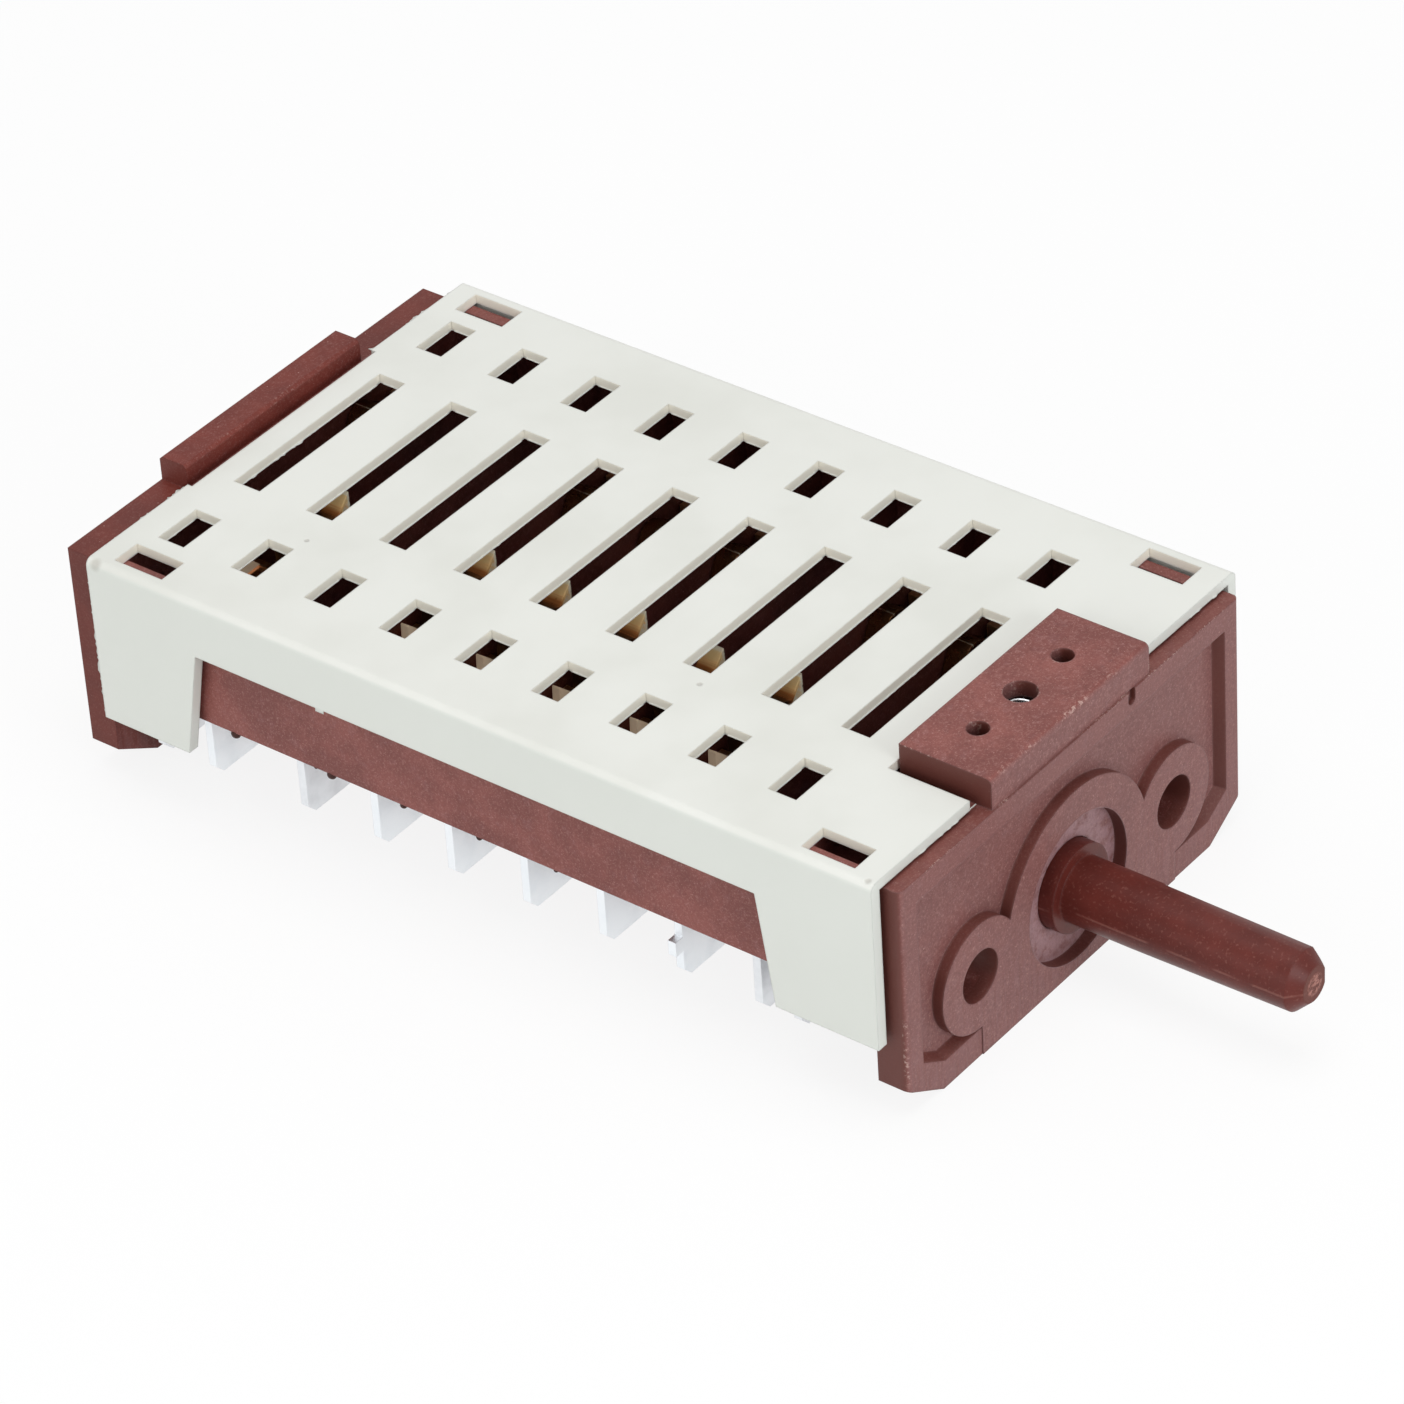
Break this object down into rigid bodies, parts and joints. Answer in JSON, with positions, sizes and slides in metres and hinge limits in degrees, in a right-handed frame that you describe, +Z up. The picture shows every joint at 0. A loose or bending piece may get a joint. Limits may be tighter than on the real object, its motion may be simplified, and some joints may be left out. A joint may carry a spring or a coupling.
{
  "type": "oven selector switch",
  "caption": "Rotary cam switch in a long brown housing with a D shaft, a slotted ivory cover and flat push-on tabs along both sides.",
  "frame": {"origin": "on the shaft axis, in the plane of the front plate's rim", "axes": "+Z up towards the cover, -Y out along the shaft towards the knob, +X to the right of someone who looks along +Y"},
  "size_m": [0.0518, 0.1114, 0.0262],
  "materials": {
    "brown_thermoset": "moulded, finely speckled",
    "ivory_cover": "satin moulded",
    "brown_shaft": "smooth moulded",
    "tinned_terminal": "bright tin",
    "brass_spring": "bright rolled",
    "silver_contact": "satin silver",
    "detent_steel": "drawn and polished steel"
  },
  "bodies": {
    "base": {"housing": "brown_thermoset", "front_plate": "brown_thermoset", "rear_plate": "brown_thermoset", "cover": "ivory_cover", "left_terminal_2": "tinned_terminal", "left_terminal_4": "tinned_terminal", "left_terminal_5": "tinned_terminal", "left_terminal_6": "tinned_terminal", "left_terminal_7": "tinned_terminal", "left_terminal_8": "tinned_terminal", "left_contact_spring_2": "brass_spring", "left_contact_spring_4": "brass_spring", "left_contact_spring_5": "brass_spring", "left_contact_spring_6": "brass_spring", "left_contact_spring_7": "brass_spring", "left_contact_spring_8": "brass_spring", "left_bus_bar": "tinned_terminal", "left_fixed_contacts": "silver_contact", "left_moving_contacts": "silver_contact", "right_terminal_1": "tinned_terminal", "right_terminal_4": "tinned_terminal", "right_terminal_5": "tinned_terminal", "right_terminal_6": "tinned_terminal", "right_terminal_8": "tinned_terminal", "right_terminal_9": "tinned_terminal", "right_contact_spring_1": "brass_spring", "right_contact_spring_4": "brass_spring", "right_contact_spring_5": "brass_spring", "right_contact_spring_6": "brass_spring", "right_contact_spring_8": "brass_spring", "right_contact_spring_9": "brass_spring", "right_bus_bar": "tinned_terminal", "right_fixed_contacts": "silver_contact", "right_moving_contacts": "silver_contact", "detent_spring": "detent_steel"},
    "camshaft": {"camshaft": "brown_shaft"},
    "detent_ball": {"detent_ball": "detent_steel"}
  },
  "joints": [
    {"name": "camshaft_turn", "type": "hinge", "parent": "base", "child": "camshaft", "pos_m": [0, 0, 0], "axis": [0, -1, 0], "continuous": true, "deforming": ["left_contact_spring_2", "left_contact_spring_4", "left_contact_spring_5", "left_contact_spring_6", "left_contact_spring_7", "left_contact_spring_8", "right_contact_spring_1", "right_contact_spring_4", "right_contact_spring_5", "right_contact_spring_6", "right_contact_spring_8", "right_contact_spring_9"]},
    {"name": "ball_lift", "type": "slide", "parent": "base", "child": "detent_ball", "axis": [0, 0, 1], "range_m": [0, 0.0011], "stiffness_N_per_m": 800, "springref_m": -0.002, "deforming": ["detent_spring"]}
  ]
}
